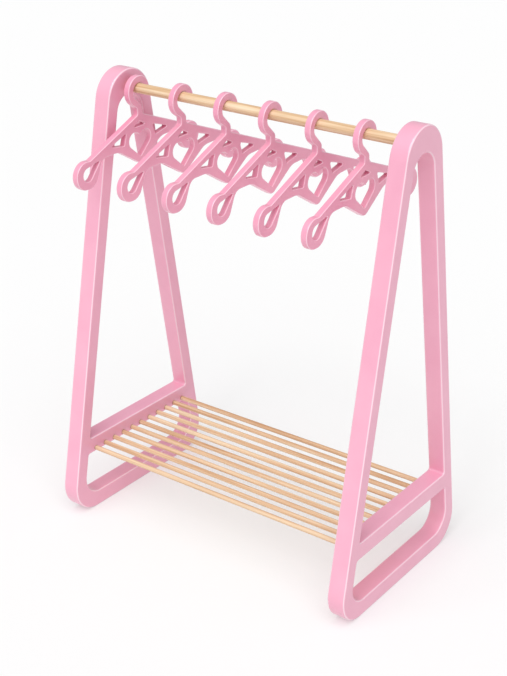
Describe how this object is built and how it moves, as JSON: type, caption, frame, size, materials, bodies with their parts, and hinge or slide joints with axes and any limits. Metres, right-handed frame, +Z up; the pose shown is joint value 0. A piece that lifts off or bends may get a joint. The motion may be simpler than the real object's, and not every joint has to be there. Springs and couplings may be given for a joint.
{
  "type": "doll clothes rack",
  "caption": "Doll-size clothes rack: two A-shaped side frames, a wooden hanging rail with heart-cut hangers, and a low shelf of thin rods.",
  "frame": {"origin": "on the surface the rack stands on, midway between the side frames and midway between their feet", "axes": "+Z up; +X along the rail, from the left side frame to the right one; +Y from the front of the rack to its back"},
  "size_m": [0.212, 0.125, 0.278],
  "materials": {
    "frame_plastic": "satin moulded",
    "hanger_plastic": "satin moulded",
    "rail_wood": "bare, sanded",
    "rod_wood": "bare, sanded"
  },
  "bodies": {
    "stand": {"left_side_frame": "frame_plastic", "right_side_frame": "frame_plastic", "hanging_rail": "rail_wood", "shelf_rod_01": "rod_wood", "shelf_rod_02": "rod_wood", "shelf_rod_03": "rod_wood", "shelf_rod_04": "rod_wood", "shelf_rod_05": "rod_wood", "shelf_rod_06": "rod_wood", "shelf_rod_07": "rod_wood", "shelf_rod_08": "rod_wood", "shelf_rod_09": "rod_wood", "shelf_rod_10": "rod_wood", "shelf_rod_11": "rod_wood"},
    "hanger_1": {"hanger_1": "hanger_plastic"},
    "hanger_2": {"hanger_2": "hanger_plastic"},
    "hanger_3": {"hanger_3": "hanger_plastic"},
    "hanger_4": {"hanger_4": "hanger_plastic"},
    "hanger_5": {"hanger_5": "hanger_plastic"},
    "hanger_6": {"hanger_6": "hanger_plastic"}
  },
  "joints": [
    {"name": "hanger_1_swing", "type": "hinge", "parent": "stand", "child": "hanger_1", "pos_m": [-0.0894, 0, 0.2653], "axis": [1, 0, 0], "range_deg": [-90, 90]},
    {"name": "hanger_2_swing", "type": "hinge", "parent": "stand", "child": "hanger_2", "pos_m": [-0.056, 0, 0.2653], "axis": [1, 0, 0], "range_deg": [-90, 90]},
    {"name": "hanger_3_swing", "type": "hinge", "parent": "stand", "child": "hanger_3", "pos_m": [-0.0235, 0, 0.2653], "axis": [1, 0, 0], "range_deg": [-90, 90]},
    {"name": "hanger_4_swing", "type": "hinge", "parent": "stand", "child": "hanger_4", "pos_m": [0.0076, 0, 0.2653], "axis": [1, 0, 0], "range_deg": [-90, 90]},
    {"name": "hanger_5_swing", "type": "hinge", "parent": "stand", "child": "hanger_5", "pos_m": [0.0386, 0, 0.2653], "axis": [1, 0, 0], "range_deg": [-90, 90]},
    {"name": "hanger_6_swing", "type": "hinge", "parent": "stand", "child": "hanger_6", "pos_m": [0.069, 0, 0.2653], "axis": [1, 0, 0], "range_deg": [-90, 90]}
  ]
}
